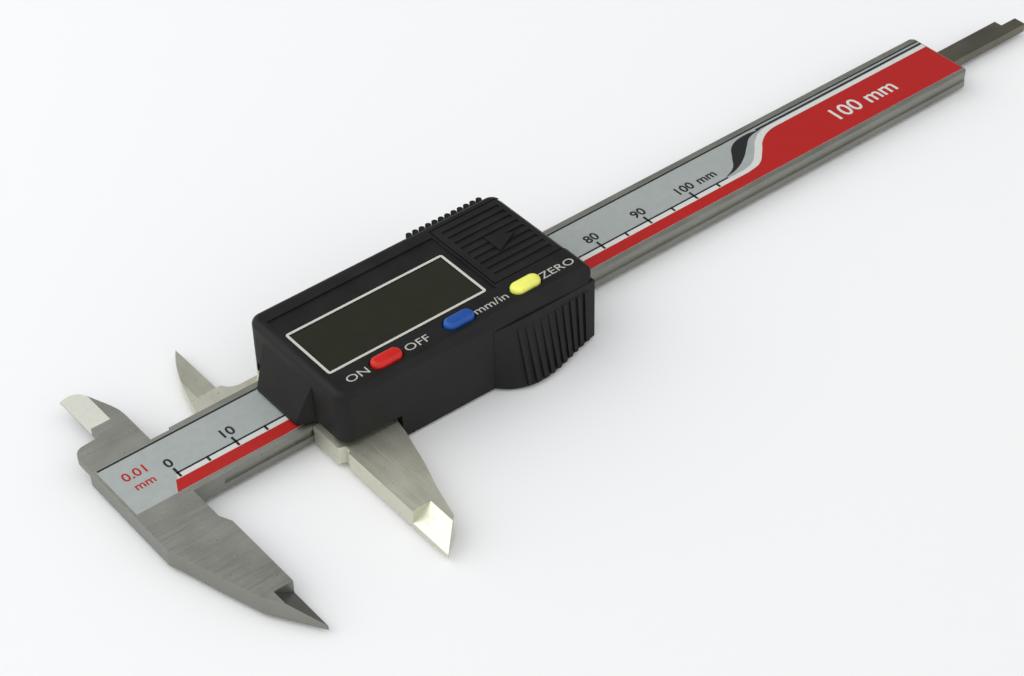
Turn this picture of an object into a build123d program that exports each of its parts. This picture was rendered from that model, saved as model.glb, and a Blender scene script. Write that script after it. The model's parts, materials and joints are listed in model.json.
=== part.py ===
"""Digital caliper, 0 to 100 mm, lying on its back and open by 20.4 mm.

Sizes are in millimetres.  Places are given in the measuring frame: x from the fixed
measuring face along the beam, y from the beam's centre line towards the inside jaws, and
z up from the surface that the slider's back plate lies on.  ZERO_X and CENTRE_Y put that
frame in the part's own, whose origin is the middle of its outline, at the same height.
"""
import math
import os

from build123d import *

os.makedirs("parts", exist_ok=True)

# Measuring: the opening at rest and how far each end of the tool reaches
READING = 20.4
JAW_TIP_Y = -38.0
NIB_TIP_Y = 23.3
HEAD_LEFT = -10.1
BEAM_END = 160.1
ROD_END = BEAM_END + READING

# The measuring frame's place in the part's frame
ZERO_X = -(HEAD_LEFT + ROD_END) / 2
CENTRE_Y = -(JAW_TIP_Y + NIB_TIP_Y) / 2

# Beam: a flat bar with the fixed jaws at one end
BEAM_HALF = 6.65
BEAM_BACK = 0.8
BEAM_TOP = 4.0
LABEL_HALF = 5.6
LABEL_ENDS = (HEAD_LEFT + 0.4, BEAM_END - 0.15)
STRIP_BOTTOM = 3.5
LABEL_BOTTOM = 3.85
NIB_EDGE = -5.5
NIB_SPLIT = 2.5
NIB_GAP = 0.1
KNIFE_START_Y = -30.0
KNIFE_LENGTH = 9.0
KNIFE_WIDTH = 3.2
KNIFE_LAND = 1.6

# Depth rod in the groove on the beam's back
ROD_HALF = 2.0
ROD_Z = (1.0, 2.6)
ROD_START = 31.0
ROD_PLAY = 0.2

# Slider: the steel frame around the beam, its back plate and its gib
SLIDER_X = (20.9, 64.5)
SLIDER_NEAR = -10.6
SLIDER_FAR = 9.6
PLATE_TOP = 0.5
GUIDE_GAP = 0.1
GIB_WIDTH = 1.0
DECK_BOTTOM = 4.2
DECK_TOP = 5.3
BOARD_TOP = 6.1
LOCK_X = 42.5
LOCK_Z = 2.5

# Housing: the plastic cover with the display, the buttons and the battery
HOUSING_X = (20.3, 67.2)
HOUSING_Y = (-14.0, 9.9)
HOUSING_FLARE = 0.9
HOUSING_TOP = 14.0
WALL = 1.2
CEILING = HOUSING_TOP - WALL
SKIRT_BOTTOM = 0.5
WINDOW_X = (22.75, 50.9)
WINDOW_Y = (-8.0, 2.4)
RECESS = 0.25
BUTTON_Y = -11.2
BUTTON_X = {"power_button": 30.5, "unit_button": 43.8, "zero_button": 56.4}
BUTTON_SIZE = (5.3, 2.5)
BUTTON_RISE = 0.8
BUTTON_TRAVEL = 0.5
LID_START = 53.2
LID_HALF = 8.0
CELL_SPOT = (59.1, 0.0)
CELL_RADIUS = 5.8
CELL_Z = (6.9, 12.3)
LOW = (Align.CENTER, Align.CENTER, Align.MIN)


def level(z):
    """The measuring frame's own plane at a height."""
    return Plane(origin=(ZERO_X, CENTRE_Y, z))


def across(y):
    """The plane of the x and z directions at a given y, facing the near side."""
    return Plane(origin=(ZERO_X, CENTRE_Y + y, 0), x_dir=(1, 0, 0), z_dir=(0, -1, 0))


def along(x):
    """The plane of the y and z directions at a given x, facing the beam's end."""
    return Plane(origin=(ZERO_X + x, CENTRE_Y, 0), x_dir=(0, 1, 0), z_dir=(1, 0, 0))


def block(x, y, z, mode=Mode.ADD):
    """A box between two x, two y and two z values of the measuring frame."""
    with Locations((ZERO_X + x[0], CENTRE_Y + y[0], z[0])):
        Box(x[1] - x[0], y[1] - y[0], z[1] - z[0], align=(Align.MIN,) * 3, mode=mode)


def post(spot, radius, z, mode=Mode.ADD):
    """An upright cylinder on a spot of the measuring frame."""
    with Locations((ZERO_X + spot[0], CENTRE_Y + spot[1], z[0])):
        Cylinder(radius, z[1] - z[0], align=LOW, mode=mode)


def knife(edge, shoulder, start_y, length):
    """Cut a slope, given as x and z at its thin edge and at its shoulder, towards -Y."""
    run, rise = shoulder[0] - edge[0], shoulder[1] - edge[1]
    low = (edge[0] - 0.3 * run, edge[1] - 0.3 * rise)
    high = (shoulder[0] + 0.3 * run, shoulder[1] + 0.3 * rise)
    with BuildSketch(across(start_y), mode=Mode.PRIVATE) as slope:
        with BuildLine():
            Polyline(low, high, (low[0], high[1]), close=True)
        make_face()
    extrude(slope.sketch, amount=length, mode=Mode.SUBTRACT)


def upward(spots, z):
    """Places for screws that point up, with their heads at a height."""
    return [Location((ZERO_X + x, CENTRE_Y + y, z)) for x, y in spots]


def downward(spots, z):
    """Places for screws that point down, with their heads at a height."""
    turned = (180, 0, 0)
    return [Location((ZERO_X + x, CENTRE_Y + y, z), turned) for x, y in spots]


def save(piece, name):
    """Label a finished piece and write its STEP file."""
    piece.part.label = name
    export_step(piece.part, f"parts/{name}.step")


def save_screws(name, places, head, shank):
    """Slotted screws, each with its head's outer face on its place; head and shank are radius, length."""
    with BuildPart() as screws:
        for place in places:
            with Locations(place):
                Cylinder(head[0], head[1], align=LOW)
                with Locations((0, 0, head[1])):
                    Cylinder(shank[0], shank[1], align=LOW)
                slot_depth = head[1] / 2
                Box(2.2 * head[0], 0.3, slot_depth, align=LOW, mode=Mode.SUBTRACT)
    save(screws, name)


# Screw patterns that more than one piece shares
STOP_SPOTS = [(BEAM_END - 4.0, side * 4.4) for side in (-1, 1)]
PLATE_SPOTS = [(x, y) for x in (24.5, 61.5) for y in (-8.7, 8.7)]
ROD_SPOTS = [(33.5, 0.0), (38.5, 0.0)]
DECK_SPOTS = [(x, y) for x in (24.0, 62.8) for y in (-9.3, 6.9)]
SHELL_SPOTS = [(37.0, -9.3), (50.2, -9.3)]
GIB_SPOTS = [28.0, 57.0]
FINE_SHANK = 0.6

# Beam with the fixed jaws: the outside jaw and the bar first, then the thin inside jaw
with BuildPart() as beam:
    with BuildSketch(level(BEAM_BACK)):
        with BuildLine():
            Polyline(
                (HEAD_LEFT, BEAM_HALF),
                (HEAD_LEFT, -14.0),
                (-9.1, -16.8),
                (-7.1, -23.6),
                (-5.0, -30.0),
                (0, JAW_TIP_Y),
                (0, -15.2),
                (-0.95, -13.2),
                (-0.95, -BEAM_HALF),
                (BEAM_END, -BEAM_HALF),
                (BEAM_END, BEAM_HALF),
                close=True,
            )
        make_face()
    extrude(amount=BEAM_TOP - BEAM_BACK)
    chamfer(beam.faces().sort_by(Axis.X)[-1].edges().filter_by(Axis.Z), length=0.6)
    with BuildSketch(level(NIB_SPLIT + NIB_GAP)):
        with BuildLine():
            Polyline((0, BEAM_HALF - 1), (HEAD_LEFT, BEAM_HALF - 1), (HEAD_LEFT, 9.5))
            RadiusArc((HEAD_LEFT, 9.5), (-8.2, 11.4), 1.9)
            Polyline((-8.2, 11.4), (NIB_EDGE, 11.6), (NIB_EDGE, 23.0))
            Spline((NIB_EDGE, 23.0), (-1.8, 19.3), (0, 13.4), tangents=((1, 0.05), (0.05, -1)))
            Line((0, 13.4), (0, BEAM_HALF - 1))
        make_face()
    extrude(amount=BEAM_TOP - NIB_SPLIT - NIB_GAP)
    # knife edges: on the inside jaw facing -X, and at the outside jaw's tip facing +X
    knife((NIB_EDGE, 2.75), (-2.2, BEAM_TOP), NIB_TIP_Y + 1, NIB_TIP_Y + 1 - 13.8)
    knife((0, KNIFE_LAND), (-KNIFE_WIDTH, BEAM_TOP), KNIFE_START_Y, KNIFE_LENGTH)
    # relief beside the head, recess for the scale, groove for the rod, grooves in the sides
    block((0, 3.4), (BEAM_HALF - 0.45, BEAM_HALF + 1), (BEAM_BACK, BEAM_TOP), Mode.SUBTRACT)
    block(LABEL_ENDS, (-LABEL_HALF, LABEL_HALF), (STRIP_BOTTOM, BEAM_TOP), Mode.SUBTRACT)
    groove_half = ROD_HALF + ROD_PLAY
    groove_top = ROD_Z[1] + ROD_PLAY
    block((8, BEAM_END), (-groove_half, groove_half), (BEAM_BACK, groove_top), Mode.SUBTRACT)
    for y in ((-BEAM_HALF, -BEAM_HALF + 0.35), (BEAM_HALF - 0.35, BEAM_HALF)):
        block((4.2, BEAM_END), y, (2.0, 3.1), Mode.SUBTRACT)
    for spot in STOP_SPOTS:
        post(spot, FINE_SHANK, (BEAM_BACK, BEAM_BACK + 2.2), Mode.SUBTRACT)
save(beam, "beam")

# Scale: the etched circuit strip glued into the beam, and the printed label over it
with BuildPart() as scale_strip:
    block(LABEL_ENDS, (-LABEL_HALF, LABEL_HALF), (STRIP_BOTTOM, LABEL_BOTTOM))
save(scale_strip, "scale_strip")

with BuildPart() as scale_label:
    block(LABEL_ENDS, (-LABEL_HALF, LABEL_HALF), (LABEL_BOTTOM, BEAM_TOP))
save(scale_label, "scale_label")

# End stop: a small plate under the beam's end that keeps the slider on and the rod in
with BuildPart() as end_stop:
    block((BEAM_END - 7, BEAM_END - 1), (-5.8, 5.8), (0.3, BEAM_BACK))
    fillet(end_stop.edges().filter_by(Axis.Z), radius=1.0)
    for spot in STOP_SPOTS:
        post(spot, 1.2, (0.3, BEAM_BACK), Mode.SUBTRACT)
save(end_stop, "end_stop")
save_screws("end_stop_screws", upward(STOP_SPOTS, 0.3), (1.2, 0.5), (FINE_SHANK, 2.2))

# Slider frame with the moving jaws: one steel piece around the beam, open at the back
channel_far = BEAM_HALF + GIB_WIDTH + 2 * GUIDE_GAP
with BuildPart() as slider_frame:
    with BuildSketch(level(BEAM_BACK)):
        with BuildLine():
            face = READING
            Polyline(
                (face - 0.6, -BEAM_HALF - GUIDE_GAP),
                (face - 0.6, -12.9),
                (face + 0.5, -13.3),
                (face + 0.5, -14.4),
                (face, -14.8),
                (face, JAW_TIP_Y),
                (face + 4.0, -34.3),
                (face + 5.4, -28.9),
                (face + 7.2, -23.4),
                (face + 9.0, -16.6),
                (face + 9.7, -13.0),
                (face + 9.7, -BEAM_HALF - GUIDE_GAP),
                close=True,
            )
        make_face()
    extrude(amount=BEAM_TOP - BEAM_BACK)
    knife((face, KNIFE_LAND), (face + KNIFE_WIDTH, BEAM_TOP), KNIFE_START_Y, KNIFE_LENGTH)
    # the inside jaw on its thin arm, low enough to pass under the fixed one
    with BuildSketch(level(BEAM_BACK)):
        with BuildLine():
            nib = READING + NIB_EDGE
            inner = BEAM_HALF + 3 * GUIDE_GAP
            root, tip = (nib - 6.2, inner), (nib, NIB_TIP_Y)
            Spline(root, (nib - 3.8, 15.6), tip, tangents=((0.25, 1), (0.7, 1)))
            Line(tip, (nib, 12.2))
            RadiusArc((nib, 12.2), (nib + 2.8, 9.4), -2.8)
            Polyline((nib + 2.8, 9.4), (SLIDER_X[0] + 1, 9.4), (SLIDER_X[0] + 1, inner), root)
        make_face()
    extrude(amount=NIB_SPLIT - NIB_GAP - BEAM_BACK)
    knife((nib, 1.3), (nib - 3.9, NIB_SPLIT - NIB_GAP), NIB_TIP_Y + 1, NIB_TIP_Y + 1 - 11.0)
    # the two walls beside the beam and the deck over it, with the sensor's window
    block(SLIDER_X, (SLIDER_NEAR, -BEAM_HALF - GUIDE_GAP), (PLATE_TOP, DECK_BOTTOM))
    block(SLIDER_X, (channel_far, SLIDER_FAR), (PLATE_TOP, DECK_BOTTOM))
    block((SLIDER_X[0] + 1.1, SLIDER_X[1]), (SLIDER_NEAR, 8.5), (DECK_BOTTOM, DECK_TOP))
    block((SLIDER_X[0], SLIDER_X[0] + 1.1), (6.5, 8.1), (DECK_BOTTOM, DECK_TOP))
    block((27.0, 59.0), (-4.8, 4.8), (DECK_BOTTOM, DECK_TOP), Mode.SUBTRACT)
    for spot in PLATE_SPOTS:
        post(spot, FINE_SHANK, (PLATE_TOP, 2.5), Mode.SUBTRACT)
    for spot in DECK_SPOTS:
        post(spot, FINE_SHANK, (DECK_TOP - 1.1, DECK_TOP), Mode.SUBTRACT)
    for spot in SHELL_SPOTS:
        post(spot, FINE_SHANK, (PLATE_TOP, DECK_TOP), Mode.SUBTRACT)
        post(spot, 1.15, (PLATE_TOP, PLATE_TOP + 0.8), Mode.SUBTRACT)
    for x in GIB_SPOTS:
        with BuildSketch(across(SLIDER_FAR)):
            with Locations((x, LOCK_Z)):
                Circle(0.8)
        extrude(amount=SLIDER_FAR - channel_far, mode=Mode.SUBTRACT)
    with BuildSketch(across(SLIDER_FAR)):
        with Locations((LOCK_X, LOCK_Z)):
            Circle(1.25)
    extrude(amount=SLIDER_FAR - channel_far, mode=Mode.SUBTRACT)
save(slider_frame, "slider_frame")

# Gib: the brass strip that takes up the slider's play, and its two set screws
gib_near = BEAM_HALF + GUIDE_GAP
with BuildPart() as gib_strip:
    block((22.0, 63.4), (gib_near, gib_near + GIB_WIDTH), (1.0, 3.9))
save(gib_strip, "gib_strip")

with BuildPart() as gib_screws:
    for x in GIB_SPOTS:
        with BuildSketch(across(SLIDER_FAR - 0.1)):
            with Locations((x, LOCK_Z)):
                Circle(0.8)
        extrude(amount=SLIDER_FAR - 0.1 - gib_near - GIB_WIDTH)
        with BuildSketch(across(SLIDER_FAR)):
            with Locations((x, LOCK_Z)):
                Rectangle(1.8, 0.3)
        extrude(amount=0.6, mode=Mode.SUBTRACT)
save(gib_screws, "gib_screws")

# Lock screw: a knurled thumb screw on the far side that presses on the gib
with BuildPart() as lock_screw:
    head_near = HOUSING_Y[1] + 0.4
    head_length = 3.6
    with BuildSketch(across(head_near + head_length)):
        with Locations((LOCK_X, LOCK_Z)):
            Circle(2.2)
            with PolarLocations(2.3, 20):
                Circle(0.22, mode=Mode.SUBTRACT)
    extrude(amount=head_length)
    with BuildSketch(across(head_near)):
        with Locations((LOCK_X, LOCK_Z)):
            Circle(1.2)
    extrude(amount=head_near - gib_near - GIB_WIDTH - 0.3)
save(lock_screw, "lock_screw")

# Depth rod: flat steel, thinned at its tip, held to the back plate by two screws
with BuildPart() as depth_rod:
    block((ROD_START, ROD_END), (-ROD_HALF, ROD_HALF), ROD_Z)
    block((ROD_END - 3.6, ROD_END), (0.4, ROD_HALF), ROD_Z, Mode.SUBTRACT)
    for spot in ROD_SPOTS:
        post(spot, FINE_SHANK, ROD_Z, Mode.SUBTRACT)
save(depth_rod, "depth_rod")

with BuildPart() as rod_spacer:
    block((ROD_START, ROD_START + 10), (-ROD_HALF, ROD_HALF), (PLATE_TOP, ROD_Z[0]))
    for spot in ROD_SPOTS:
        post(spot, FINE_SHANK, (PLATE_TOP, ROD_Z[0]), Mode.SUBTRACT)
save(rod_spacer, "rod_spacer")
save_screws("rod_screws", upward(ROD_SPOTS, 0), (1.15, PLATE_TOP), (FINE_SHANK, ROD_Z[1] - PLATE_TOP))

# Back plate: closes the slider behind the beam and is what the caliper lies on
with BuildPart() as back_plate:
    block((21.2, 64.2), (-10.2, 9.4), (0, PLATE_TOP))
    fillet(back_plate.edges().filter_by(Axis.Z), radius=1.2)
    for spot in PLATE_SPOTS + ROD_SPOTS:
        post(spot, 1.15, (0, PLATE_TOP), Mode.SUBTRACT)
save(back_plate, "back_plate")
save_screws("back_plate_screws", upward(PLATE_SPOTS, 0), (1.15, PLATE_TOP), (FINE_SHANK, 2.0))

# Circuit board on the deck, with its chip, its contact strip and its screws
with BuildPart() as circuit_board:
    block((22.3, 64.7), (-12.6, 8.3), (DECK_TOP, BOARD_TOP))
    for spot in DECK_SPOTS:
        post(spot, FINE_SHANK, (DECK_TOP, BOARD_TOP), Mode.SUBTRACT)
    for spot in SHELL_SPOTS:
        post(spot, 1.2, (DECK_TOP, BOARD_TOP), Mode.SUBTRACT)
save(circuit_board, "circuit_board")
save_screws("board_screws", downward(DECK_SPOTS, BOARD_TOP + 0.6), (1.1, 0.6), (FINE_SHANK, 1.8))

with BuildPart() as chip_cap:
    post((36.0, -2.0), 3.0, (BOARD_TOP, BOARD_TOP + 0.9))
    fillet(chip_cap.faces().sort_by(Axis.Z)[-1].edges(), radius=0.6)
save(chip_cap, "chip_cap")

LCD_X = (22.9, 50.9)
LCD_Y = (-7.9, 5.0)
LCD_Z = (11.2, 12.4)
ZEBRA = ((25.0, 48.8), (3.0, 4.4))
with BuildPart() as zebra_strip:
    block(*ZEBRA, (BOARD_TOP, LCD_Z[0]))
save(zebra_strip, "zebra_strip")

with BuildPart() as lcd_holder:
    block((LCD_X[0] - 0.4, LCD_X[1] + 0.4), (LCD_Y[0] - 0.2, LCD_Y[1] + 0.4), (BOARD_TOP, LCD_Z[0]))
    block((LCD_X[0] + 1, LCD_X[1] - 1), (LCD_Y[0] + 1, 2.2), (BOARD_TOP, LCD_Z[0]), Mode.SUBTRACT)
    block(*ZEBRA, (BOARD_TOP, LCD_Z[0]), Mode.SUBTRACT)
    for spot in DECK_SPOTS:
        post(spot, 1.3, (BOARD_TOP, BOARD_TOP + 0.8), Mode.SUBTRACT)
save(lcd_holder, "lcd_holder")

with BuildPart() as lcd_glass:
    block(LCD_X, LCD_Y, LCD_Z)
save(lcd_glass, "lcd_glass")

# Window pane: its rim sits between the display and the ceiling, its middle in the opening
PANE_GAP = 0.1
with BuildPart() as display_window:
    block((22.3, 51.3), (-8.1, 2.8), (LCD_Z[1], CEILING))
    block(
        (WINDOW_X[0] + PANE_GAP, WINDOW_X[1] - PANE_GAP),
        (WINDOW_Y[0] + PANE_GAP, WINDOW_Y[1] - PANE_GAP),
        (CEILING, HOUSING_TOP - RECESS - 0.1),
    )
save(display_window, "display_window")

# White line printed round the window
BORDER = 0.42
with BuildPart() as window_border:
    printed = (HOUSING_TOP - RECESS, HOUSING_TOP - RECESS + 0.08)
    block(
        (WINDOW_X[0] - BORDER, WINDOW_X[1] + BORDER),
        (WINDOW_Y[0] - BORDER, WINDOW_Y[1] + BORDER),
        printed,
    )
    fillet(window_border.edges().filter_by(Axis.Z), radius=0.5)
    block(WINDOW_X, WINDOW_Y, printed, Mode.SUBTRACT)
save(window_border, "window_border")

# Thumb grip on the housing's near side: a swelling that is deepest at the bottom
GRIP_X = (47.6, HOUSING_X[1])
GRIP_DEPTH = 3.0
GRIP_PITCH = 1.45
GRIP_RIBS = 13
GRIP_TOP = 11.6
GRIP_TOP_SHARE = 0.08
RIB_WIDTH = 0.7
RIB_HEIGHT = 0.45


def near_wall(x):
    """The housing's near side, which stands a little further out towards the beam's end."""
    share = (x - HOUSING_X[0]) / (HOUSING_X[1] - HOUSING_X[0])
    return HOUSING_Y[0] - HOUSING_FLARE * share


def swell(x):
    """How far the grip stands out of the wall at its bottom edge."""
    share = min(max((x - GRIP_X[0]) / (GRIP_X[1] - GRIP_X[0]), 0), 1)
    return GRIP_DEPTH * math.sin(math.pi * share**0.62) ** 1.4


def grip_outline(depth_share):
    """Points along the grip's outer line, with a share of its full depth."""
    steps = [GRIP_X[0] + i * GRIP_PITCH for i in range(GRIP_RIBS)] + [GRIP_X[1] - 0.3]
    return [(x, near_wall(x) - 0.05 - depth_share * swell(x)) for x in steps]


with BuildPart() as housing:
    # the outer block, with rounded corners and a rounded top edge
    ends, far = HOUSING_X, HOUSING_Y[1]
    with BuildSketch(level(SKIRT_BOTTOM)) as footprint:
        with BuildLine():
            near_corners = [(x, near_wall(x)) for x in ends]
            Polyline((ends[0], far), *near_corners, (ends[1], far), close=True)
        make_face()
        fillet(footprint.vertices(), radius=2.0)
    extrude(amount=HOUSING_TOP - SKIRT_BOTTOM)
    fillet(housing.faces().sort_by(Axis.Z)[-1].edges(), radius=1.2)
    # thumb grip with its upright ribs, then a slope on the near top edge that widens with x
    for z, share in ((SKIRT_BOTTOM, 1.0), (GRIP_TOP, GRIP_TOP_SHARE)):
        with BuildSketch(level(z)):
            with BuildLine():
                edge = grip_outline(share)
                Spline(*edge)
                Polyline(edge[-1], (GRIP_X[1] - 0.3, -13.4), (GRIP_X[0], -13.4), edge[0])
            make_face()
    loft(ruled=True)
    for i in range(3, GRIP_RIBS):
        x = GRIP_X[0] + i * GRIP_PITCH
        wall = near_wall(x)
        low_y, high_y = wall - swell(x), wall - GRIP_TOP_SHARE * swell(x)
        with BuildSketch(along(x - RIB_WIDTH / 2)):
            with BuildLine():
                Polyline(
                    (low_y - RIB_HEIGHT, SKIRT_BOTTOM + 0.4),
                    (high_y - RIB_HEIGHT, 10.2),
                    (high_y + 0.3, 10.8),
                    (wall + 0.4, SKIRT_BOTTOM + 0.4),
                    close=True,
                )
            make_face()
        extrude(amount=RIB_WIDTH)
    for x, width, drop in ((ends[0] + 10, 0.9, 0.9), (ends[1] + 0.1, 1.5, 2.4)):
        wall = near_wall(x)
        low = (wall - 0.3 * width, HOUSING_TOP - 1.3 * drop)
        high = (wall + 1.3 * width, HOUSING_TOP + 0.3 * drop)
        with BuildSketch(along(x)):
            with BuildLine():
                Polyline(low, high, (low[0], high[1]), close=True)
            make_face()
    loft(mode=Mode.SUBTRACT)
    # hollow inside, open below, with the skirt kept only on the near side
    inside_x = (HOUSING_X[0] + WALL, HOUSING_X[1] - WALL)
    inside_y = (HOUSING_Y[0] + WALL, HOUSING_Y[1] - WALL)
    block(inside_x, inside_y, (0, CEILING), Mode.SUBTRACT)
    beyond = (HOUSING_X[0] - 1, HOUSING_X[1] + 1)
    block(beyond, (-7.2, HOUSING_Y[1] + 1), (0, DECK_BOTTOM), Mode.SUBTRACT)
    block((HOUSING_X[0] - 1, 30.6), (HOUSING_Y[0] - 1, 0), (0, 4.9), Mode.SUBTRACT)
    # apron over the beam at the left end, and the gap beside it that shows the frame
    left = HOUSING_X[0]
    for x, half, z in ((left + 0.5, 6.4, 12.6), (left - 2.5, 5.0, DECK_BOTTOM + 0.7)):
        with BuildSketch(along(x)):
            with Locations((-0.3, (DECK_BOTTOM + z) / 2)):
                Rectangle(2 * half, z - DECK_BOTTOM)
    loft()
    block((left - 0.1, left + WALL), (6.4, 8.2), (DECK_BOTTOM, 6.0), Mode.SUBTRACT)
    # display: shallow recess and window opening
    block((21.9, 52.6), (-8.9, 6.8), (HOUSING_TOP - RECESS, HOUSING_TOP), Mode.SUBTRACT)
    block(WINDOW_X, WINDOW_Y, (CEILING, HOUSING_TOP), Mode.SUBTRACT)
    # buttons
    with BuildSketch(level(CEILING)):
        for x in BUTTON_X.values():
            with Locations((x, BUTTON_Y)):
                SlotOverall(BUTTON_SIZE[0] + 0.4, BUTTON_SIZE[1] + 0.4)
    extrude(amount=WALL + 0.1, mode=Mode.SUBTRACT)
    # battery tray: walls round the cell, with ledges and grooves that the lid slides in
    tray_z = (BOARD_TOP + 1.1, CEILING)
    block((LID_START - 1.2, LID_START - 0.2), (-9.4, inside_y[1]), tray_z)
    block((LID_START - 0.2, inside_x[1]), (-9.4, -LID_HALF), tray_z)
    block((LID_START - 0.2, inside_x[1]), (LID_HALF, inside_y[1]), tray_z)
    opening = LID_HALF + 0.2
    block((LID_START - 0.2, beyond[1]), (-opening, opening), (CEILING, HOUSING_TOP), Mode.SUBTRACT)
    runner = LID_HALF + 0.8
    block((LID_START - 0.2, beyond[1]), (-runner, runner), (CEILING, CEILING + 0.7), Mode.SUBTRACT)
    # posts for the screws from the back, and finger ribs on the far side
    for spot in SHELL_SPOTS:
        post(spot, 1.1, (DECK_TOP, CEILING))
        post(spot, FINE_SHANK, (DECK_TOP, DECK_TOP + 3.5), Mode.SUBTRACT)
    for i in range(12):
        post((50.7 + 1.25 * i, HOUSING_Y[1] + 0.3), 0.5, (5.5, HOUSING_TOP - 0.5))
save(housing, "housing")
shell_places = upward(SHELL_SPOTS, PLATE_TOP)
save_screws("housing_screws", shell_places, (1.15, 0.8), (FINE_SHANK, DECK_TOP + 3.2 - PLATE_TOP - 0.8))

# Buttons: a domed cap in its hole, a flange that keeps it in, and a stem to its dome
for name, x in BUTTON_X.items():
    with BuildPart() as button:
        with BuildSketch(level(CEILING - 0.6)):
            with Locations((x, BUTTON_Y)):
                SlotOverall(*BUTTON_SIZE)
        extrude(amount=WALL + 0.6 + BUTTON_RISE)
        fillet(button.faces().sort_by(Axis.Z)[-1].edges(), radius=0.75)
        with BuildSketch(level(CEILING - 0.8)):
            with Locations((x, BUTTON_Y)):
                SlotOverall(BUTTON_SIZE[0] + 1.2, BUTTON_SIZE[1] + 0.6)
        extrude(amount=0.5)
        post((x, BUTTON_Y), 0.8, (BOARD_TOP + 1.3, CEILING - 0.8))
    save(button, name)

with BuildPart() as button_domes:
    for x in BUTTON_X.values():
        with Locations((ZERO_X + x, CENTRE_Y + BUTTON_Y, BOARD_TOP)):
            Cone(1.4, 0.5, 0.7, align=LOW)
save(button_domes, "button_domes")

# Battery lid: ribbed, with an arrow that shows which way it slides
LID_Z = (CEILING + 0.1, HOUSING_TOP)
with BuildPart() as battery_lid:
    block((LID_START, HOUSING_X[1]), (-LID_HALF, LID_HALF), LID_Z)
    chamfer(battery_lid.faces().sort_by(Axis.X)[-1].edges().sort_by(Axis.Z)[-1], length=1.0)
    block((LID_START, HOUSING_X[1] - 1), (-LID_HALF - 0.6, LID_HALF + 0.6), (LID_Z[0], LID_Z[0] + 0.4))
    for i in range(9):
        rib_y = -6.4 + 1.6 * i
        groove = ((LID_START + 1.2, HOUSING_X[1] - 1.8), (rib_y - 0.4, rib_y + 0.4))
        block(*groove, (HOUSING_TOP - 0.2, HOUSING_TOP), Mode.SUBTRACT)
    with BuildSketch(level(HOUSING_TOP - 0.3)):
        with BuildLine():
            Polyline((58.6, 1.7), (58.6, -2.6), (63.0, -0.45), close=True)
        make_face()
    extrude(amount=0.5)
save(battery_lid, "battery_lid")

# Button cell with its two contacts
with BuildPart() as button_cell:
    post(CELL_SPOT, CELL_RADIUS - 0.9, (CELL_Z[0], CELL_Z[0] + 0.5))
    post(CELL_SPOT, CELL_RADIUS, (CELL_Z[0] + 0.5, CELL_Z[1]))
    fillet(button_cell.faces().sort_by(Axis.Z)[-1].edges(), radius=0.4)
save(button_cell, "button_cell")

SHEET = 0.2
with BuildPart() as battery_contact_negative:
    block((55.5, 62.7), (-2.0, 2.0), (BOARD_TOP, BOARD_TOP + SHEET))
    post(CELL_SPOT, 1.2, (BOARD_TOP, CELL_Z[0]))
save(battery_contact_negative, "battery_contact_negative")

with BuildPart() as battery_contact_positive:
    clip_x = LID_START - 0.18
    block((clip_x, clip_x + 1.4), (-3.0, 3.0), (BOARD_TOP, BOARD_TOP + SHEET))
    block((clip_x, clip_x + SHEET), (-3.0, 3.0), (BOARD_TOP, 12.0))
save(battery_contact_positive, "battery_contact_positive")
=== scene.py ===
# %% [markdown]
# # A digital caliper, finished in Blender
# The caliper's design comes ready from its CAD frame: every steel, brass and plastic piece
# already has its true shape and place. What a reader of this file can learn is the other
# half of the work: how printed film, ground steel and moulded plastic are made to look
# right, and how thin printed marks are laid on a surface. We start by loading the frame.

# %% Load the frame
import json
import math

import bmesh
import bpy
from mathutils import Matrix, Vector


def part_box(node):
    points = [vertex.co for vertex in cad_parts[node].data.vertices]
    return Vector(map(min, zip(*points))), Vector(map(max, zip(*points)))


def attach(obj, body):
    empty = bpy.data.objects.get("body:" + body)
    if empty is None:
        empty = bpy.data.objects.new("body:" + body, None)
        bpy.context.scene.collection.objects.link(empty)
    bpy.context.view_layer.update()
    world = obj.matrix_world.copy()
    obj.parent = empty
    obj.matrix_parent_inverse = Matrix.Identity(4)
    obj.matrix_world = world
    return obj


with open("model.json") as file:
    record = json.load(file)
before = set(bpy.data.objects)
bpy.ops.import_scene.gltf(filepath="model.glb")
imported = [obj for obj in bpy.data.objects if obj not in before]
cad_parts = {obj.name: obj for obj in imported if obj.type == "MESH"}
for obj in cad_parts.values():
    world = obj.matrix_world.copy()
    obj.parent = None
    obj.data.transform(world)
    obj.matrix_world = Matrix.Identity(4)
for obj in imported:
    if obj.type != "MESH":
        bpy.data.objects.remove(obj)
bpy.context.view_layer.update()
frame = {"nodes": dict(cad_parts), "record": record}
print("nodes:", len(frame["nodes"]))

# %% [markdown]
# The caliper has its own way of giving places, and it is handy to keep it: x from the fixed
# measuring face along the beam, y from the beam's centre line, z up from the table, all in
# millimetres. The frame tells us where that zero is: the measuring face is one of the
# record's mounts, and the scale's label is centred on the beam.

# %% Places on the caliper
MM = 0.001
mounts = {mount["name"]: mount for mount in frame["record"]["mounts"]}
label_low, label_high = (Vector(corner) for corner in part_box("scale_label"))
zero = Vector((mounts["fixed_measuring_face"]["pos_m"][0], (label_low.y + label_high.y) / 2, 0))


def at(x, y, z=0.0):
    """A point of the caliper, in metres."""
    return zero + Vector((x, y, z)) * MM


def top_of(node):
    """The height of a node's highest point, in millimetres."""
    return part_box(node)[1][2] / MM


print("zero of the scale:", [round(value, 4) for value in zero])

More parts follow.
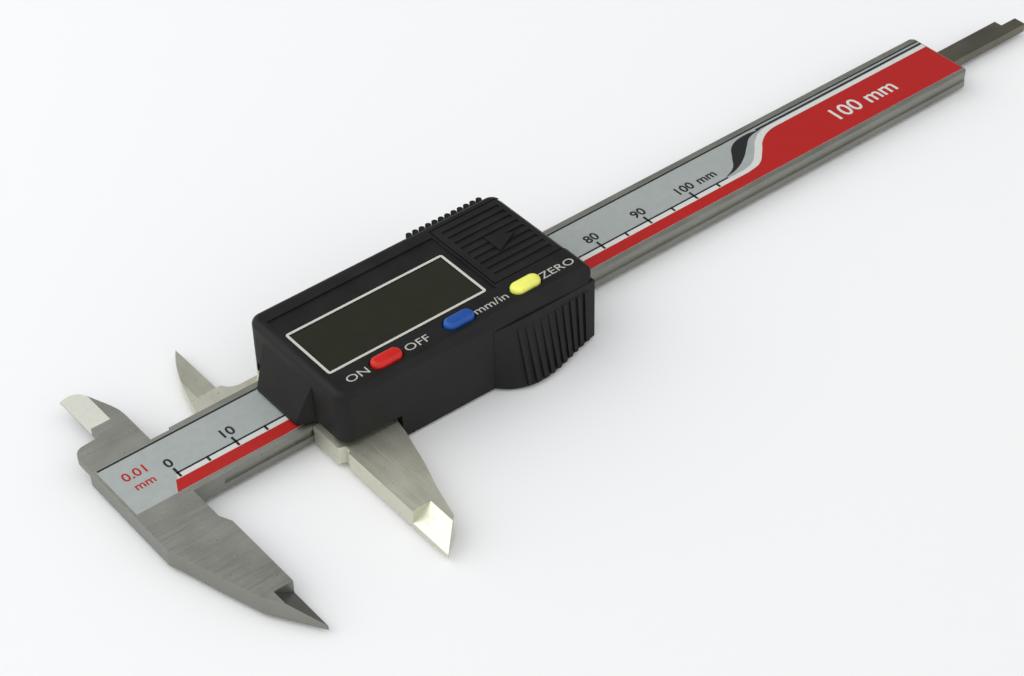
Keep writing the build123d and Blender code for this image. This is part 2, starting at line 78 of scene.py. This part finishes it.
# %% [markdown]
# Shader maths reads best when it looks like maths. This small class holds a node's output
# and gives it plus, minus, times and divide, so a mask can be written as `1 - lines * 0.4`.
# Its one method `node` adds any other node: the settings are set first, because some of them
# change which sockets the node has.

# %% A socket that can be used in sums
class Socket:
    """A node's output, which can be added to, multiplied and so on."""

    def __init__(self, tree, output=None):
        self.tree, self.output = tree, output

    def node(self, kind, settings=None, inputs=None, output=0):
        made = self.tree.nodes.new("ShaderNode" + kind)
        for name, value in (settings or {}).items():
            if name == "stops":
                for stop in range(2, len(value)):
                    made.color_ramp.elements.new(stop / len(value))
                for element, (position, colour) in zip(made.color_ramp.elements, value):
                    element.position, element.color = position, colour
            else:
                setattr(made, name, value)
        for name, value in (inputs or {}).items():
            if isinstance(value, Socket):
                self.tree.links.new(value.output, made.inputs[name])
            else:
                made.inputs[name].default_value = value
        return Socket(self.tree, made.outputs[output])

    def math(self, operation, first, second):
        return self.node("Math", {"operation": operation}, {0: first, 1: second})

    def __add__(self, other):
        return self.math("ADD", self, other)

    def __sub__(self, other):
        return self.math("SUBTRACT", self, other)

    def __rsub__(self, other):
        return self.math("SUBTRACT", other, self)

    def __mul__(self, other):
        return self.math("MULTIPLY", self, other)

    __radd__ = __add__
    __rmul__ = __mul__

    def shade(self, factor):
        """This colour, made darker by a factor."""
        settings = {"data_type": "RGBA", "blend_type": "MULTIPLY"}
        return self.node("Mix", settings, {0: 1.0, 6: self, 7: factor}, 2)

    def blend(self, dark, light):
        """A colour between two others, by this value."""
        mixed = self.node("Mix", {"data_type": "RGBA"}, {0: self, 6: dark, 7: light}, 2)
        return mixed


def tone(red, green, blue):
    """A colour given as it looks on a screen, 0 to 255, as the shader's linear values."""
    def linear(value):
        value = value / 255
        return value / 12.92 if value <= 0.04045 else ((value + 0.055) / 1.055) ** 2.4
    return (linear(red), linear(green), linear(blue), 1.0)


def make_material(name, fixed, surface=None):
    """A Principled material: fixed numbers on its sockets, and what surface() gives linked."""
    made = bpy.data.materials.new(name)
    made.use_nodes = True
    tree = made.node_tree
    shader = tree.nodes["Principled BSDF"]
    for socket, value in fixed.items():
        shader.inputs[socket].default_value = value
    if surface:
        for socket, value in surface(Socket(tree)).items():
            tree.links.new(value.output, shader.inputs[socket])
    return made


def grain(start, stretch, scale, detail=4.0):
    """Noise on the piece's own coordinates, stretched along some of its axes."""
    place = start.node("TexCoord", output="Object")
    placed = start.node("Mapping", None, {"Vector": place, "Scale": stretch})
    return start.node("TexNoise", None, {"Vector": placed, "Scale": scale, "Detail": detail})


# %% [markdown]
# Ground steel is never one grey. The grinding wheel leaves fine lines along its path, and
# the sheet it came from has broad, faint clouds and a few fine specks. Three noises do this:
# one is stretched sixtyfold along the grinding for the lines, and two are left round for the
# clouds and the specks. Together they move the colour and the roughness a little, and the
# lines also give a trace of bump. The upright sides and the slopes that look towards the
# beam's end get painted shade: their colour is made darker by the way they face, standing
# in for the shade that falls on them. A piece's own normal says which those are, and it
# turns with the piece.

# %% Steel finishes
def ground_steel(name, light, dark, roughness, along=(1, 60, 60), slope_shade=1.0, side_shade=0.85):
    """Steel between two greys, with its lines along one axis; two factors paint shade on the
    end-facing slopes and the upright sides.
    """
    def surface(start):
        lines = grain(start, along, 140, 6)
        clouds = grain(start, (1, 1, 1), 160, 3)
        specks = grain(start, (1, 1, 1), 1500, 2)
        share = lines * 0.5 + clouds * 0.35 + specks * 0.15
        ramp = start.node("MapRange", None, {0: share, 1: 0.34, 2: 0.66})
        stains = start.node("MapRange", None, {0: specks, 1: 0.66, 2: 0.74, 3: 1.0, 4: 0.7})
        normal = start.node("TexCoord", output="Normal")
        endward = start.node("SeparateXYZ", None, {"Vector": normal}, "X")
        # painted shade: slopes that face the beam's end are made darker by their facing
        painted_slope_shade = start.node("MapRange", None, {0: endward, 1: 0.3, 2: 0.55, 3: 1.0, 4: slope_shade})
        upward = start.node("SeparateXYZ", None, {"Vector": normal}, "Z")
        # painted shade: upright sides are made darker by their facing
        painted_side_shade = start.node("MapRange", None, {0: upward, 1: 0.2, 2: 0.5, 3: side_shade, 4: 1.0})
        bump = start.node("Bump", None, {"Strength": 0.4, "Distance": 0.000008, "Height": lines})
        return {
            # the colour carries real specks and painted shade on slopes and sides
            "Base Color": ramp.blend(dark, light).shade(stains * painted_slope_shade * painted_side_shade),
            "Roughness": ramp * 0.14 + roughness,
            "Normal": bump,
        }

    return make_material(name, {"Metallic": 1.0}, surface)


# the beam takes strong painted shade on its end-facing slopes and its upright sides
beam_steel = ground_steel(
    "beam_steel", tone(188, 189, 180), tone(168, 169, 160), 0.34, slope_shade=0.25, side_shade=0.6
)
jaw_steel = ground_steel("jaw_steel", tone(238, 238, 222), tone(220, 220, 203), 0.42, (60, 1, 60))
rod_steel = ground_steel("rod_steel", tone(140, 138, 124), tone(112, 110, 98), 0.35)
turned_steel = ground_steel("turned_steel", tone(186, 186, 184), tone(150, 150, 148), 0.26, (8, 8, 60))
plate_metal = ground_steel("plate_metal", tone(196, 197, 196), tone(174, 175, 174), 0.38)
gib_brass = ground_steel("gib_brass", tone(206, 178, 104), tone(176, 148, 82), 0.32)
contact_metal = ground_steel("contact_metal", tone(214, 196, 140), tone(190, 172, 120), 0.25)
cell_steel = ground_steel("cell_steel", tone(206, 206, 204), tone(186, 186, 184), 0.18, (1, 1, 1))

# %% [markdown]
# The housing is black plastic from a spark-eroded mould: matt, with a texture so fine that
# it only shows as a soft sheen. A noise of about a fifth of a millimetre gives the bump,
# and a wide one keeps the black from being flat. Smooth plastics, such as the buttons,
# have the same wide unevenness, hardly any bump and a clear coat.

# %% Plastic finishes
def moulded_plastic(name, colour, roughness, texture, coat=0.0, gloss=0.36):
    def surface(start):
        pores = grain(start, (1, 1, 1), 5200, 2)
        handling = grain(start, (1, 1, 1), 210, 5)
        worn = start.node("MapRange", None, {0: handling, 1: 0.35, 2: 0.7})
        lighter = tuple(min(1.0, part * 1.35 + 0.002) for part in colour[:3]) + (1.0,)
        bump = start.node("Bump", None, {"Strength": texture, "Distance": 0.00004, "Height": pores})
        return {
            "Base Color": worn.blend(colour, lighter),
            "Roughness": worn * 0.1 + pores * 0.06 + roughness,
            "Normal": bump,
        }

    fixed = {"Coat Weight": coat, "Coat Roughness": 0.12, "Specular IOR Level": gloss}
    return make_material(name, fixed, surface)


housing_black = moulded_plastic("housing_black", tone(22, 23, 22), 0.44, 0.45, gloss=0.2)
lid_black = moulded_plastic("lid_black", tone(21, 22, 21), 0.46, 0.4, gloss=0.24)
holder_white = moulded_plastic("holder_white", tone(214, 214, 208), 0.45, 0.2)
button_red = moulded_plastic("button_red", tone(184, 18, 10), 0.34, 0.08, 0.1)
button_blue = moulded_plastic("button_blue", tone(12, 68, 142), 0.34, 0.08, 0.1)
button_yellow = moulded_plastic("button_yellow", tone(224, 228, 104), 0.34, 0.08, 0.1)
board_green = moulded_plastic("board_green", tone(38, 104, 62), 0.35, 0.1, 0.3)
chip_black = moulded_plastic("chip_black", tone(24, 24, 24), 0.2, 0.1, 0.4)
zebra_rubber = moulded_plastic("zebra_rubber", tone(212, 170, 176), 0.6, 0.3)

# %% [markdown]
# The label is a printed film with a metallic silver ground under a satin varnish. The inks
# on it share one recipe: an almost even colour, slightly mottled as screen print is, with
# the varnish's own roughness.

# %% Printed inks
def printed_ink(name, colour, roughness=0.38, metal=0.0):
    def surface(start):
        mottle = grain(start, (1, 1, 1), 900, 3)
        share = start.node("MapRange", None, {0: mottle, 1: 0.3, 2: 0.7})
        deeper = tuple(part * 0.94 for part in colour[:3]) + (1.0,)
        return {"Base Color": share.blend(deeper, colour), "Roughness": mottle * 0.12 + roughness}

    return make_material(name, {"Metallic": metal}, surface)


label_silver = printed_ink("label_silver", tone(182, 190, 188), 0.36, 0.35)
ink_red = printed_ink("ink_red", tone(178, 14, 8))
ink_black = printed_ink("ink_black", tone(22, 24, 24))
ink_white = printed_ink("ink_white", tone(212, 215, 211))
pad_white = printed_ink("pad_white", tone(206, 206, 198), 0.5)
pad_grey = printed_ink("pad_grey", tone(186, 186, 180), 0.5)

# %% [markdown]
# A display that is switched off is a dark olive mirror under clear plastic. The cell touches
# the window from below, and two see-through faces at one height flicker when the slider
# moves, so the window isn't see-through: it has the cell's dark olive and a sharper gloss.

# %% Display finishes
def display_cell(start):
    film = grain(start, (1, 1, 1), 70, 2)
    return {"Base Color": film.blend(tone(34, 35, 18), tone(44, 45, 27))}


def window_film(start):
    film = grain(start, (1, 1, 1), 300, 2)
    return {"Base Color": film.blend(tone(30, 31, 19), tone(38, 39, 26))}


lcd_olive = make_material("lcd_olive", {"Roughness": 0.3}, display_cell)
window_clear = make_material("window_clear", {"Roughness": 0.12}, window_film)

# %% [markdown]
# A CAD piece keeps its shape and only takes a finish. One table says which piece takes
# which, so it is easy to see that none is left out.

# %% Finish the CAD pieces
FINISHES = {
    beam_steel: ["beam"],
    jaw_steel: ["slider_frame"],
    rod_steel: ["depth_rod"],
    turned_steel: [
        "end_stop_screws",
        "gib_screws",
        "lock_screw",
        "rod_screws",
        "back_plate_screws",
        "board_screws",
        "housing_screws",
    ],
    plate_metal: ["back_plate", "end_stop", "rod_spacer"],
    gib_brass: ["gib_strip"],
    contact_metal: ["button_domes", "battery_contact_negative", "battery_contact_positive"],
    cell_steel: ["button_cell"],
    housing_black: ["housing"],
    lid_black: ["battery_lid"],
    holder_white: ["lcd_holder"],
    button_red: ["power_button"],
    button_blue: ["unit_button"],
    button_yellow: ["zero_button"],
    board_green: ["circuit_board", "scale_strip"],
    chip_black: ["chip_cap"],
    zebra_rubber: ["zebra_strip"],
    label_silver: ["scale_label"],
    pad_white: ["window_border"],
    lcd_olive: ["lcd_glass"],
    window_clear: ["display_window"],
}
for finish, names in FINISHES.items():
    for name in names:
        mesh = frame["nodes"][name].data
        mesh.materials.clear()
        mesh.materials.append(finish)
finished = {name for names in FINISHES.values() for name in names}
print("not finished:", sorted(set(frame["nodes"]) - finished))

# %% [markdown]
# Print is thin but real, so each mark is a flat outline with a hundredth of a millimetre of
# ink. An outline is a filled curve: its corners have straight handles and its bends have
# automatic ones. It is drawn in millimetres, made a mesh, and only then moved to its place,
# because a finished piece's object stays at the origin.

# %% Helpers for print
INK = 0.012
LABEL_TOP = top_of("scale_label")
# how far each layer of print lies above the label's film: later prints lie on earlier ones
STRIPE_LIFT, NUMBER_LIFT, LEAF_LIFT = 0.008, 0.010, 0.015
PANEL_LIFT, MARK_LIFT, PANEL_WORDS_LIFT = 0.020, 0.030, 0.034


def join_shapes(name, shapes, height, ink, body):
    """Turn flat curve or text objects into one printed piece at a height."""
    bpy.context.view_layer.update()
    graph = bpy.context.evaluated_depsgraph_get()
    whole = bmesh.new()
    for shape in shapes:
        flat = bpy.data.meshes.new_from_object(shape.evaluated_get(graph))
        flat.transform(shape.matrix_world)
        whole.from_mesh(flat)
        bpy.data.objects.remove(shape)
    bmesh.ops.remove_doubles(whole, verts=whole.verts, dist=0.0005)
    bmesh.ops.transform(whole, matrix=Matrix.Translation((0, 0, height)), verts=whole.verts)
    bmesh.ops.transform(
        whole, matrix=Matrix.Translation(zero) @ Matrix.Scale(MM, 4), verts=whole.verts
    )
    bmesh.ops.recalc_face_normals(whole, faces=whole.faces)
    mesh = bpy.data.meshes.new(name)
    whole.to_mesh(mesh)
    whole.free()
    mesh.materials.append(ink)
    piece = bpy.data.objects.new(name, mesh)
    bpy.context.scene.collection.objects.link(piece)
    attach(piece, body)
    print(name, "faces:", len(mesh.polygons))
    return piece


def outline(points, corners="VECTOR"):
    """A filled outline in millimetres; a point with a third value 'bend' is rounded."""
    curve = bpy.data.curves.new("outline", "CURVE")
    curve.dimensions, curve.fill_mode, curve.extrude = "2D", "BOTH", INK / 2
    spline = curve.splines.new("BEZIER")
    spline.bezier_points.add(len(points) - 1)
    spline.use_cyclic_u = True
    spline.resolution_u = 10
    for knot, point in zip(spline.bezier_points, points):
        kind = "AUTO" if point[2:] == ("bend",) else corners
        knot.co = (point[0], point[1], 0)
        knot.handle_left_type = knot.handle_right_type = kind
    shape = bpy.data.objects.new("outline", curve)
    bpy.context.scene.collection.objects.link(shape)
    return shape


def bar(x, y):
    """A printed rectangle between two x and two y values."""
    return outline([(x[0], y[0]), (x[1], y[0]), (x[1], y[1]), (x[0], y[1])])


def words(text, x, y, size, align="CENTER", weight=0.0, widen=1.0):
    """Lettering whose foot is at y, in millimetres."""
    font = bpy.data.curves.new("words", "FONT")
    font.body, font.size, font.align_x = text, size, align
    font.extrude, font.offset, font.resolution_u = INK / 2, weight, 3
    shape = bpy.data.objects.new("words", font)
    shape.location, shape.scale.x = (x, y, 0), widen
    bpy.context.scene.collection.objects.link(shape)
    return shape


# %% [markdown]
# The scale: a base line with a mark every five millimetres. The tens stand on both sides of
# the line and carry a number, the fives hang below it. The scale's own zero is a little to
# the left of the measuring face.

# %% Scale marks and numbers
SCALE_ZERO = -0.7
BASE_LINE = -2.15
FULL_SCALE = 100
MARK = 0.4

marks = [bar((SCALE_ZERO - MARK / 2, SCALE_ZERO + 107.6), (BASE_LINE - 0.15, BASE_LINE + 0.15))]
for reading in range(0, FULL_SCALE + 6, 5):
    mark_x = SCALE_ZERO + reading
    rise = 1.15 if reading % 10 == 0 else 0
    marks.append(bar((mark_x - MARK / 2, mark_x + MARK / 2), (BASE_LINE - 1.0, BASE_LINE + rise)))
for shape in marks:
    shape.location.z = MARK_LIFT
join_shapes("scale_marks", marks, LABEL_TOP, ink_black, "main_scale")

NUMBER_FOOT, NUMBER_SIZE, NUMBER_WEIGHT = BASE_LINE + 1.65, 2.6, 0.055
numbers = [
    words(str(reading), SCALE_ZERO + reading, NUMBER_FOOT, NUMBER_SIZE, weight=NUMBER_WEIGHT)
    for reading in range(0, FULL_SCALE + 1, 10)
]
unit_x = SCALE_ZERO + FULL_SCALE + 2.9
numbers.append(words("mm", unit_x, NUMBER_FOOT, NUMBER_SIZE, "LEFT", NUMBER_WEIGHT))
join_shapes("scale_numbers", numbers, LABEL_TOP + NUMBER_LIFT, ink_black, "main_scale")

# %% [markdown]
# Under the base line run a white stripe and a red one. At the far end the red climbs in an
# S to fill the rest of the label, with a white line round it and a black leaf beside the
# climb. The red and the white outline share the S: the white one is the same curve, about a
# millimetre further out. Plain lettering gives the resolution at the head and the range on
# the red panel.

# %% Red panel, white line and black leaf
LABEL_START = label_low.x / MM - zero.x / MM
PANEL_END = (label_high.x - zero.x) / MM
LABEL_EDGE = (label_high.y - label_low.y) / 2 / MM
CLIMB = [(110.5, -3.3), (113.6, -2.7), (116.2, -0.6), (118.6, 1.7), (121.2, 2.95), (125.0, 3.2)]


def panel(outset, start_x):
    """The red panel's outline, moved outwards by a distance."""
    rising = [(x - outset * 0.9, y + outset, "bend") for x, y in CLIMB[1:-1]]
    first, last = CLIMB[0], CLIMB[-1]
    return outline([
        (start_x - 1.1, -LABEL_EDGE + 0.05),
        (PANEL_END, -LABEL_EDGE + 0.05),
        (PANEL_END, last[1] + outset),
        (last[0], last[1] + outset),
        *reversed(rising),
        (first[0], first[1] + outset),
        (start_x, first[1] + outset),
    ])


WHITE_WIDTH = 0.95
white_line = panel(WHITE_WIDTH, -1.0)
stripe_top = LABEL_TOP + STRIPE_LIFT
join_shapes("white_stripe", [white_line], stripe_top, ink_white, "main_scale")
red_panel = panel(0.0, -1.7)
join_shapes("red_panel", [red_panel], LABEL_TOP + PANEL_LIFT, ink_red, "main_scale")

leaf = outline([
    (106.6, -1.95),
    (109.6, -1.4, "bend"),
    (112.8, 0.2, "bend"),
    (115.2, 2.1, "bend"),
    (117.4, 3.7, "bend"),
    (120.4, 4.25),
    (116.6, 4.7, "bend"),
    (113.4, 3.8, "bend"),
    (111.2, 1.4, "bend"),
    (109.4, -0.7, "bend"),
])
leaf_tail = bar((119.6, PANEL_END), (LABEL_EDGE - 1.3, LABEL_EDGE - 0.85))
edge_line = bar((LABEL_START + 0.1, PANEL_END), (LABEL_EDGE - 0.4, LABEL_EDGE - 0.05))
# plain lettering: the resolution at the head and the range on the red panel
HEAD_X, HEAD_WEIGHT = -5.4, 0.03
head_words = [
    words("0.01", HEAD_X, 0.9, 2.5, weight=HEAD_WEIGHT),
    words("mm", HEAD_X, -1.6, 2.2, weight=HEAD_WEIGHT),
]
join_shapes("head_lettering", head_words, LABEL_TOP + LEAF_LIFT, ink_red, "main_scale")
range_words = [words("100 mm", 139.5, -2.6, 4.6, weight=0.05)]
WORDS_TOP = LABEL_TOP + PANEL_WORDS_LIFT
join_shapes("panel_lettering", range_words, WORDS_TOP, ink_white, "main_scale")
leaf_shapes = [leaf, leaf_tail, edge_line]
join_shapes("label_leaf", leaf_shapes, LABEL_TOP + LEAF_LIFT, ink_black, "main_scale")

# %% [markdown]
# The words beside the buttons are pad printed in white on the housing's top. They are the
# plain names of what the buttons do.

# %% Words beside the buttons
HOUSING_TOP = top_of("housing")
low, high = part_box("zero_button")
BUTTON_LINE = ((low[1] + high[1]) / 2 - zero.y) / MM
WORD_FOOT = BUTTON_LINE - 0.8
PLACES = {"ON": 25.3, "OFF": 36.0, "mm/in": 49.7, "ZERO": 62.5}
button_words = [words(text, x, WORD_FOOT, 2.1, widen=1.2) for text, x in PLACES.items()]
join_shapes("button_words", button_words, HOUSING_TOP + STRIPE_LIFT, pad_grey, "slider")

# %% [markdown]
# The floor is one large pale sheet. Soft light comes from all round, but the side that a
# level surface mirrors towards the camera is kept darker: that is what keeps the black
# plastic black and the inks deep. One lamp from the left and behind picks out the slopes
# that face that way, which is what makes the knife edges of the jaws shine.

# %% Floor, light and camera
floor_mesh = bmesh.new()
bmesh.ops.create_grid(floor_mesh, x_segments=2, y_segments=2, size=3.0)
floor_data = bpy.data.meshes.new("floor")
floor_mesh.to_mesh(floor_data)
floor_mesh.free()
floor = bpy.data.objects.new("floor", floor_data)
bpy.context.scene.collection.objects.link(floor)
floor_white = make_material("floor_white", {"Base Color": tone(246, 247, 248), "Roughness": 0.9})
floor_data.materials.append(floor_white)

bpy.context.scene.view_settings.view_transform = "Standard"
DARK_SIDE = (0.6, 0.5, 0.62)
OPEN_SKY, DARK_SKY = 1.02, 0.24
world = bpy.data.worlds.new("soft_light")
bpy.context.scene.world = world
world.use_nodes = True
sky = Socket(world.node_tree)
direction = sky.node("TexCoord", output="Generated")
facing = sky.node("VectorMath", {"operation": "DOT_PRODUCT"}, {0: direction, 1: DARK_SIDE}, "Value")
edges = {0: facing, 1: 0.7, 2: 0.94, 3: OPEN_SKY, 4: DARK_SKY}
brightness = sky.node("MapRange", None, edges)
background = world.node_tree.nodes["Background"]
world.node_tree.links.new(brightness.output, background.inputs["Strength"])
background.inputs["Color"].default_value = (1.0, 1.0, 1.0, 1.0)


def lamp(name, place, aim, size, power):
    """A square soft lamp that points at a spot on the caliper."""
    data = bpy.data.lights.new(name, "AREA")
    data.size, data.energy = size, power
    made = bpy.data.objects.new(name, data)
    made.location = place
    made.rotation_euler = (aim - Vector(place)).to_track_quat("-Z", "Y").to_euler()
    bpy.context.scene.collection.objects.link(made)


lamp("key", at(-330, 330, 400), at(20, -20, 0), 0.7, 1.3)

# %% [markdown]
# The camera looks from the front left and above, and is turned a degree about its own axis.
# Its place follows from the point it looks at, two angles and a distance.

# %% Camera
AZIMUTH, ELEVATION, ROLL = (math.radians(angle) for angle in (-38.14, 41.15, 1.39))
LENS = 79.58
back = Vector((
    math.sin(AZIMUTH) * math.cos(ELEVATION),
    -math.cos(AZIMUTH) * math.cos(ELEVATION),
    math.sin(ELEVATION),
))
right = Vector((0, 0, 1)).cross(back).normalized()
up = back.cross(right)
turned_right = math.cos(ROLL) * right - math.sin(ROLL) * up
turned_up = math.sin(ROLL) * right + math.cos(ROLL) * up
camera_data = bpy.data.cameras.new("camera")
camera_data.lens = LENS
camera = bpy.data.objects.new("camera", camera_data)
camera.matrix_world = Matrix.Translation(at(54.3, -10.35, 4.0) + back * 344.77 * MM) @ Matrix(
    (turned_right, turned_up, back)
).transposed().to_4x4()
bpy.context.scene.collection.objects.link(camera)
bpy.context.scene.camera = camera
